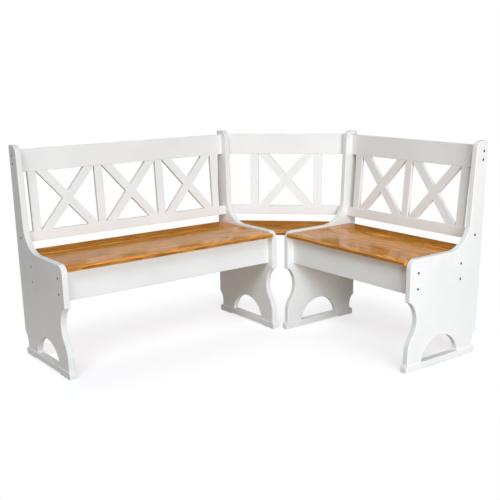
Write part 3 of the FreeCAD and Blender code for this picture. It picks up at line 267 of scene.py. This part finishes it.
# %% [markdown]
# ## Rings, fibres and streaks
#
# The growth rings are drawn as cylinders round a core below the board. A slow noise bends them,
# which gives the long flames that a flat-sawn board shows. Finely stretched noise makes the fibres
# and pores, and coarser stretched noise the streaks where the stain sank deeper.

# %% Wood grain
# Rings of quickly grown pine can be this far apart. Closer ones would blur in this picture.
RING = 7.0 * MM
# Bends per metre along the grain and across it, how far they reach, and the middle of their noise.
BENDS = (1.6, 5.0, 5.0)
BEND_REACH = (0.0, 0.09, 0.09)
NOISE_MIDDLE = (0.5, 0.5, 0.5)
# Fibres and pores of pine are a few tenths of a millimetre wide, so they are drawn coarser.
FIBRE = 1.6 * MM
FIBRE_STRETCH = 0.03
# Real streaks in this stain are about half as wide. At the camera's low angle they would fall below
# one pixel, so they are drawn twice as coarse.
STREAK = 22 * MM
STREAK_STRETCH = 0.22


def grain(tree, place, turn, origin, seed):
    """The patterns of glued staves. The origin is the front edge at the surface."""
    log, dice, seam = staves(tree, place, turn, origin, seed)
    heart, push = knots(tree, log)
    slow = add(tree, "ShaderNodeMapping", {"Vector": log, "Scale": BENDS})
    bend = add(tree, "ShaderNodeTexNoise", {"Vector": slow, "Scale": 1.0, "Detail": 3.0})
    bend = add(tree, "ShaderNodeVectorMath", {0: bend.outputs["Color"], 1: NOISE_MIDDLE},
               operation="SUBTRACT")
    bend = add(tree, "ShaderNodeVectorMath", {0: bend, 1: BEND_REACH}, operation="MULTIPLY")
    bent = add(tree, "ShaderNodeVectorMath", {0: log, 1: bend}, operation="ADD")
    bent = add(tree, "ShaderNodeVectorMath", {0: bent, 1: push}, operation="ADD")

    # The wave texture's rings repeat every 2 pi / 20 units at scale 1.
    rings = add(tree, "ShaderNodeTexWave", {"Vector": bent, "Scale": math.pi / 10 / RING,
                                            "Distortion": 1.2, "Detail": 2.0, "Detail Scale": 0.6},
                wave_type="RINGS", rings_direction="X", wave_profile="SAW").outputs["Fac"]
    patterns = {"rings": rings, "stave": dice, "knot": heart, "seam": seam}
    for name, source, width, stretch, rough in (("fibres", log, FIBRE, FIBRE_STRETCH, 0.65),
                                                ("streaks", bent, STREAK, STREAK_STRETCH, 0.55)):
        drawn = add(tree, "ShaderNodeMapping", {"Vector": source, "Scale": (stretch, 1.0, 1.0)})
        patterns[name] = add(tree, "ShaderNodeTexNoise", {"Vector": drawn, "Scale": 1 / width,
                                                          "Detail": 3.0, "Roughness": rough})
    return patterns


print("rings %.0f mm, streaks %.0f mm, fibres %.1f mm" % (RING / MM, STREAK / MM, FIBRE / MM))

# %% [markdown]
# ## Stain and varnish
#
# A honey-brown stain sinks deeper into the soft early wood and leaves the hard rings darker and
# redder. Two coats of glossy varnish go over it. The stain is a ramp over the ring pattern,
# darkened by fibres, streaks and knots and shifted from stave to stave. The varnish is the shader's
# own gloss, so the white backs show softly in the seat as they do in the photograph. Varnish over
# stain sends back honey-coloured light, so the reflection is tinted.

# %% Honey-brown stain under varnish
STAIN = [(0.0, "#ECA850"), (0.45, "#DE9640"), (0.8, "#C57A2D"), (1.0, "#A45F1C")]
KNOT_COLOUR = "#5A2F14"
GLUE_LINE_DARKNESS = 0.45
STAVE_SHADES = (0.9, 1.08)
PATTERN_SHADES = {"streaks": (0.6, 1.38), "fibres": (0.86, 1.12)}
# Noise seldom leaves the middle half of its range.
NOISE_RANGE = (0.25, 0.75)
VARNISH_GLOSS = (0.08, 0.2)
FIBRE_DEPTH = 0.1 * MM


def stained_wood(name, turn, origin, seed):
    """Staves stained and varnished: deep honey brown under a gloss that the fibres break up."""
    surface, tree, shader, place = new_surface(name)
    wood = grain(tree, place, turn, origin, seed)
    value = add(tree, "ShaderNodeMapRange", {"Value": wood["stave"], "To Min": STAVE_SHADES[0],
                                             "To Max": STAVE_SHADES[1]})
    for pattern, (low, high) in PATTERN_SHADES.items():
        part = add(tree, "ShaderNodeMapRange",
                   {"Value": wood[pattern], "From Min": NOISE_RANGE[0],
                    "From Max": NOISE_RANGE[1], "To Min": low, "To Max": high})
        value = add(tree, "ShaderNodeMath", {0: value, 1: part}, operation="MULTIPLY")
    colour = add(tree, "ShaderNodeValToRGB", {"Fac": wood["rings"]}, STAIN)
    colour = add(tree, "ShaderNodeHueSaturation", {"Color": colour, "Value": value})
    dark = add(tree, "ShaderNodeMath", {0: wood["seam"], 1: GLUE_LINE_DARKNESS},
               operation="MULTIPLY")
    dark = add(tree, "ShaderNodeMath", {0: dark, 1: wood["knot"]}, operation="MAXIMUM")
    # Inputs 6 and 7 of a mix node are its two colours, and output 2 is their mixture.
    colour = add(tree, "ShaderNodeMix", {"Factor": dark, 6: colour, 7: chart(KNOT_COLOUR)},
                 data_type="RGBA").outputs[2]
    gloss = add(tree, "ShaderNodeMapRange", {"Value": wood["fibres"], "To Min": VARNISH_GLOSS[0],
                                             "To Max": VARNISH_GLOSS[1]})
    bump = add(tree, "ShaderNodeBump", {"Height": wood["fibres"], "Strength": 0.2,
                                        "Distance": FIBRE_DEPTH})
    feed(shader, {"Base Color": colour, "Roughness": gloss, "Normal": bump,
                  "Specular IOR Level": 0.12, "Specular Tint": chart("#FFE2A8")})
    return surface


def front_edge(node):
    """The lowest corner of a seat's plan at its surface, from which its staves are counted."""
    low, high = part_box(node)
    return (low[0], low[1], high[2])


# Each seat is turned in degrees so that its staves lie along it, and has its own dice.
seat_woods = {}
for name, node, turn, seed in (("long", "long_seat_lid", 0, 3.0),
                               ("short", "short_seat_lid", 90, 23.0),
                               ("corner", "corner_seat", 45, 41.0)):
    seat_woods[name] = stained_wood("stained_staves_" + name, math.radians(turn),
                                    front_edge(node), seed)
print("stained seats:", ", ".join(seat_woods))

# %% [markdown]
# ## Bare softwood inside
#
# Cleats, ledges, battens, dowels and the floor of each box are never seen when the bench is in use,
# so they were left raw. It is the same grain with pale colours and no varnish, which makes it dull.

# %% Raw pine
RAW = [(0.0, "#E2C796"), (0.6, "#D8B67E"), (1.0, "#B98D55")]
RAW_SHADES = (0.85, 1.1)
RAW_DEPTH = 0.2 * MM


def raw_pine():
    """Planed pine with no finish: pale and dull, with fibres that stand up a little."""
    surface, tree, shader, place = new_surface("raw_pine")
    wood = grain(tree, place, 0.0, (0.0, 0.0, 0.0), 7.0)
    shade = add(tree, "ShaderNodeMapRange", {"Value": wood["fibres"], "To Min": RAW_SHADES[0],
                                             "To Max": RAW_SHADES[1]})
    colour = add(tree, "ShaderNodeValToRGB", {"Fac": wood["rings"]}, RAW)
    colour = add(tree, "ShaderNodeHueSaturation", {"Color": colour, "Value": shade})
    bump = add(tree, "ShaderNodeBump", {"Height": wood["fibres"], "Strength": 0.4,
                                        "Distance": RAW_DEPTH})
    feed(shader, {"Base Color": colour, "Normal": bump, "Roughness": 0.7})
    return surface


bare_wood = raw_pine()
print("left raw:", list(slots.values()).count("bare_wood"), "pieces")

# %% [markdown]
# ## Screws, bolts, pins and bushes
#
# The connecting bolts are blackened steel, dull from the phosphate coat. Nuts, screws and pins are
# zinc plated, which looks like pale clouded steel, and the lids turn in turned brass bushes. On all
# three a noise half a millimetre across breaks up the gloss, because bare metal is never even.

# %% Metals
METAL_GRAIN = 0.6 * MM


def worked_metal(name, colour, metallic, shiny, dull):
    """A small metal part whose gloss runs between two roughness values."""
    surface, tree, shader, place = new_surface(name)
    cloud = add(tree, "ShaderNodeTexNoise", {"Vector": place, "Scale": 1 / METAL_GRAIN,
                                             "Detail": 2.0})
    gloss = add(tree, "ShaderNodeMapRange", {"Value": cloud, "To Min": shiny, "To Max": dull})
    feed(shader, {"Base Color": chart(colour), "Metallic": metallic, "Roughness": gloss})
    return surface


# The phosphate coat isn't metal: it soaks up light and hardly shines.
black_steel = worked_metal("blackened_steel", "#060505", 0.0, 0.5, 0.7)
feed(black_steel.node_tree.nodes["Principled BSDF"], {"Specular IOR Level": 0.08})
# Zinc has a soft pale shine. The turning tool leaves brass smoother, so it is brighter.
zinc_steel = worked_metal("zinc_plated_steel", "#B9BBBD", 1.0, 0.25, 0.45)
turned_brass = worked_metal("turned_brass", "#C9A45C", 1.0, 0.15, 0.35)
print("metals:", ", ".join(metal.name for metal in (black_steel, zinc_steel, turned_brass)))

# %% [markdown]
# ## Hand out the surfaces
#
# The workshop model names a finish for every piece. Each piece could be given its material by hand,
# but a rule is shorter and misses none. Painted pieces take the paint mixed for their own grain
# way, each seat and the board behind it take that seat's stain, and the others are bare wood or
# metal. Only the material slots change, and no solid is touched.

# %% Dress the pieces
FINISHES = {"bare_wood": bare_wood, "black_steel": black_steel, "plain_steel": zinc_steel,
            "brass": turned_brass}

for name, piece in nodes.items():
    if slots[name] == "white_paint":
        finish = paints[ways[name]]
    else:
        finish = FINISHES.get(slots[name]) or seat_woods[name.split("_")[0]]
    piece.data.materials.clear()
    piece.data.materials.append(finish)
print("surfaces:", ", ".join(sorted({piece.data.materials[0].name for piece in nodes.values()})))

# %% [markdown]
# ## The floor's surface
#
# The bench stands on a pale studio floor. The floor has to keep the soft shadow under the bench and
# still be pure white where it meets the background. So where it is seen, by the camera or in a
# reflection, it is part diffuse paper and part white glow, and it fades to plain white within half
# a metre of the bench's plan, which is two rectangles. To every other ray it is the brown floor of
# a workshop. That throws a little warm light back up, which the shaded side panels show in the
# photograph.

# %% Studio paper
SHADOW_REACH = 0.42
FLOOR_BOUNCE = "#AA9781"
FLOOR_SHADE = "#CFCED0"
FLOOR_GLOW = 0.57


def seen_directly(tree):
    """One where the camera, a reflection or a see-through ray looks, and zero for other light."""
    paths = add(tree, "ShaderNodeLightPath").outputs
    seen = add(tree, "ShaderNodeMath", {0: paths["Is Camera Ray"], 1: paths["Is Glossy Ray"]},
               operation="MAXIMUM")
    return add(tree, "ShaderNodeMath", {0: seen, 1: paths["Is Transmission Ray"]},
               operation="MAXIMUM")


def beyond(tree, place, pieces):
    """How far a place on the floor lies outside the rectangle round some pieces."""
    boxes = [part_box(piece) for piece in pieces]
    low = Vector([min(box[0][axis] for box in boxes) for axis in (0, 1)] + [0.0])
    high = Vector([max(box[1][axis] for box in boxes) for axis in (0, 1)] + [0.0])
    reach = add(tree, "ShaderNodeVectorMath", {0: place, 1: (low + high) / 2},
                operation="SUBTRACT")
    reach = add(tree, "ShaderNodeVectorMath", {0: reach}, operation="ABSOLUTE")
    reach = add(tree, "ShaderNodeVectorMath", {0: reach, 1: (high - low) / 2},
                operation="SUBTRACT")
    reach = add(tree, "ShaderNodeVectorMath", {0: reach, 1: (0.0, 0.0, 0.0)}, operation="MAXIMUM")
    return add(tree, "ShaderNodeVectorMath", {0: reach}, operation="LENGTH").outputs["Value"]


def pale_floor():
    """White paper that keeps the shadow near the bench and turns plain white further out."""
    surface, tree, shader, place = new_surface("studio_paper")
    tree.nodes.remove(shader)
    seen = seen_directly(tree)
    away = add(tree, "ShaderNodeMath",
               {0: beyond(tree, place, ("long_outer_side", "long_inner_side")),
                1: beyond(tree, place, ("short_outer_side", "short_inner_side"))},
               operation="MINIMUM")
    fade = add(tree, "ShaderNodeMapRange", {"Value": away, "From Max": SHADOW_REACH},
               interpolation_type="SMOOTHSTEP")
    tone = add(tree, "ShaderNodeMix", {"Factor": seen, 6: chart(FLOOR_BOUNCE),
                                       7: chart(FLOOR_SHADE)}, data_type="RGBA").outputs[2]
    paper = add(tree, "ShaderNodeBsdfDiffuse", {"Color": tone})
    glow = add(tree, "ShaderNodeMath", {0: seen, 1: FLOOR_GLOW}, operation="MULTIPLY")
    glow = add(tree, "ShaderNodeEmission", {"Strength": glow})
    near = add(tree, "ShaderNodeAddShader", {0: paper, 1: glow})
    white = add(tree, "ShaderNodeEmission", {"Strength": 1.0})
    far = add(tree, "ShaderNodeMath", {0: fade, 1: seen}, operation="MULTIPLY")
    mixed = add(tree, "ShaderNodeMixShader", {"Fac": far, 1: near, 2: white})
    feed(tree.nodes["Material Output"], {"Surface": mixed})
    return surface


paper = pale_floor()
print("the shadow fades out %.0f mm from the bench" % (SHADOW_REACH / MM))

# %% [markdown]
# ## Laying the floor
#
# Studio paper comes off a roll that is wider than the bench. Here it is one flat square under the
# feet, many times as large as the bench. It is plain white long before its edge, as is the room
# behind it, so the edge can't be seen. The flags further on are flat sheets too, so one function
# makes any sheet and sets it in place.

# %% Lay the floor
FLOOR_SIZE = 14.0


def flat_sheet(name, place, surface):
    """A flat square metre, stretched and placed by a matrix that is worked into its mesh."""
    shape = bmesh.new()
    bmesh.ops.create_grid(shape, x_segments=1, y_segments=1, size=0.5)
    bmesh.ops.transform(shape, matrix=place, verts=shape.verts)
    mesh = bpy.data.meshes.new(name)
    shape.to_mesh(mesh)
    shape.free()
    mesh.materials.append(surface)
    sheet = bpy.data.objects.new(name, mesh)
    bpy.context.scene.collection.objects.link(sheet)
    return sheet


floor = flat_sheet("studio_floor", Matrix.Diagonal((FLOOR_SIZE, FLOOR_SIZE, 1.0, 1.0)), paper)
print("the floor is %.0f m square" % floor.dimensions.x)

# %% [markdown]
# ## The light
#
# The fronts of the long bench are bright and even, the fronts of the short one a shade darker, and
# the outer side of the long bench lies in half shade. Two lights give that: a low wide lamp in
# front of the long bench, and a soft far light over the photographer's left shoulder, high enough
# to fall on the seats. A third light, far too, stands high behind the bench. It reaches what faces
# up or away from the camera, so the back of the bench isn't left in the dark.

# %% Lamps
FRONT_LAMP = {"place": (-0.9, -4.0, 0.9), "aim": (0.0, 0.1, 0.4), "width": 2.1, "power": 131.0,
              "colour": "#F2F9FF"}
# A far light comes from a heading and a height in degrees, and its spread softens the shadows.
SIDE_LIGHT = {"heading": -50, "height": 40, "spread": 25, "strength": 1.28, "colour": "#EFF7FF"}
BACK_LIGHT = {"heading": 160, "height": 50, "spread": 50, "strength": 0.95, "colour": "#FFFFFF"}
# A far light shines the same from any distance, so this only keeps it clear of the bench.
FAR = 5.0


def put_lamp(name, kind, place, aim, energy, colour):
    """A lamp at a place, turned towards what it lights."""
    data = bpy.data.lights.new(name, kind)
    data.energy = energy
    data.color = chart(colour)[:3]
    lamp = bpy.data.objects.new(name, data)
    lamp.location = place
    lamp.rotation_euler = (Vector(aim) - Vector(place)).to_track_quat("-Z", "Y").to_euler()
    bpy.context.scene.collection.objects.link(lamp)
    return data


def put_far_lamp(name, light):
    """A lamp so far away that its light is even. Heading 0 is straight before the long bench."""
    place = FAR * direction(light["heading"] - 90, light["height"])
    data = put_lamp(name, "SUN", place, (0.0, 0.0, 0.0), light["strength"], light["colour"])
    data.angle = math.radians(light["spread"])


front_lamp = put_lamp("front_lamp", "AREA", FRONT_LAMP["place"], FRONT_LAMP["aim"],
                      FRONT_LAMP["power"], FRONT_LAMP["colour"])
front_lamp.size = FRONT_LAMP["width"]
put_far_lamp("side_light", SIDE_LIGHT)
put_far_lamp("back_light", BACK_LIGHT)
print("lamps:", ", ".join(lamp.name for lamp in bpy.data.lights))

# %% [markdown]
# ## The room
#
# Light also comes softly from the walls and the ceiling. Walls could be built, but an even world
# round the bench does the same with less noise. It is dim and nearly white. Where it is seen, by
# the camera or in a reflection, the world is plain white instead, because that is the picture's
# background.

# %% World
ROOM_LIGHT = 0.19
ROOM_COLOUR = "#FAFAFD"

world = bpy.data.worlds.new("white_room")
world.use_nodes = True
tree = world.node_tree
room = add(tree, "ShaderNodeBackground", {"Color": chart(ROOM_COLOUR), "Strength": ROOM_LIGHT})
backdrop = add(tree, "ShaderNodeBackground", {"Color": chart("#FFFFFF"), "Strength": 1.0})
both = add(tree, "ShaderNodeMixShader", {"Fac": seen_directly(tree), 1: room, 2: backdrop})
feed(tree.nodes["World Output"], {"Surface": both})
bpy.context.scene.world = world
bpy.context.scene.view_settings.view_transform = "Standard"
print("the room gives", ROOM_LIGHT, "of the backdrop's white")

# %% [markdown]
# ## The black flags
#
# Varnish seen at a low angle mirrors what stands behind it, and a white studio would wash the stain
# out. Photographers put black cards, called flags, just out of the picture to keep a glossy colour
# deep. In the photograph the rear of each seat, which mirrors the gap under the backs, is deep
# brown, and the front mirrors the white rails. So two flags stand behind the bench. They are told
# to show in reflections only: no camera sees them, and they throw no shadow and no bounced light.

# %% Flags behind the bench
FLAG_HEIGHT = 1.6
FLAG_LENGTH = 3.6
FLAG_DISTANCE = 1.5
NAP = 2.5 * MM
VELVET = [(0.3, "#060606"), (0.7, "#0C0C0C")]


def dull_black():
    """Black velvet: almost no light comes back, and that evenly."""
    surface, tree, shader, place = new_surface("black_velvet")
    tree.nodes.remove(shader)
    nap = add(tree, "ShaderNodeTexNoise", {"Vector": place, "Scale": 1 / NAP})
    tone = add(tree, "ShaderNodeValToRGB", {"Fac": nap}, VELVET)
    cloth = add(tree, "ShaderNodeBsdfDiffuse", {"Color": tone})
    feed(tree.nodes["Material Output"], {"Surface": cloth})
    return surface


velvet = dull_black()
standing = (Matrix.Translation((0.0, FLAG_DISTANCE, FLAG_HEIGHT / 2))
            @ Matrix.Rotation(math.pi / 2, 4, "X")
            @ Matrix.Diagonal((FLAG_LENGTH, FLAG_HEIGHT, 1.0, 1.0)))
for name, heading in (("flag_behind_long_bench", 0), ("flag_behind_short_bench", -90)):
    flag = flat_sheet(name, Matrix.Rotation(math.radians(heading), 4, "Z") @ standing, velvet)
    for ray in ("camera", "diffuse", "shadow", "transmission", "volume_scatter"):
        setattr(flag, "visible_" + ray, False)
print("two flags of %.1f x %.1f m stand %.1f m out" % (FLAG_LENGTH, FLAG_HEIGHT, FLAG_DISTANCE))

# %% [markdown]
# ## The camera
#
# The camera's place, direction and focal length were fitted to corners of the bench in the
# photograph. The camera looks down a little, so the uprights on either side lean apart towards the
# top. The optical centre lies below the middle of the image, as it does when a picture is cropped,
# so the frame is shifted up by as much. The image is square, with the sensor's 36 millimetres
# across it.

# %% Camera
CAMERA_PLACE = (-2.0083, -2.6617, 1.1904)
CAMERA_HEADING = math.radians(37.158)
CAMERA_TILT = math.radians(16.323)
CAMERA_ROLL = math.radians(-0.707)
IMAGE_PIXELS = 500
FOCAL_PIXELS = 823.5
CENTRE_DROP_PIXELS = 54.08

camera_data = bpy.data.cameras.new("camera")
camera_data.lens = camera_data.sensor_width * FOCAL_PIXELS / IMAGE_PIXELS
camera_data.shift_y = CENTRE_DROP_PIXELS / IMAGE_PIXELS
camera_data.dof.use_dof = False
camera = bpy.data.objects.new("camera", camera_data)
turn = (Matrix.Rotation(-CAMERA_HEADING, 4, "Z")
        @ Matrix.Rotation(math.pi / 2 - CAMERA_TILT, 4, "X")
        @ Matrix.Rotation(CAMERA_ROLL, 4, "Z"))
camera.matrix_world = Matrix.Translation(CAMERA_PLACE) @ turn
bpy.context.scene.collection.objects.link(camera)
bpy.context.scene.camera = camera
print("lens %.1f mm, shift %.3f" % (camera_data.lens, camera_data.shift_y))
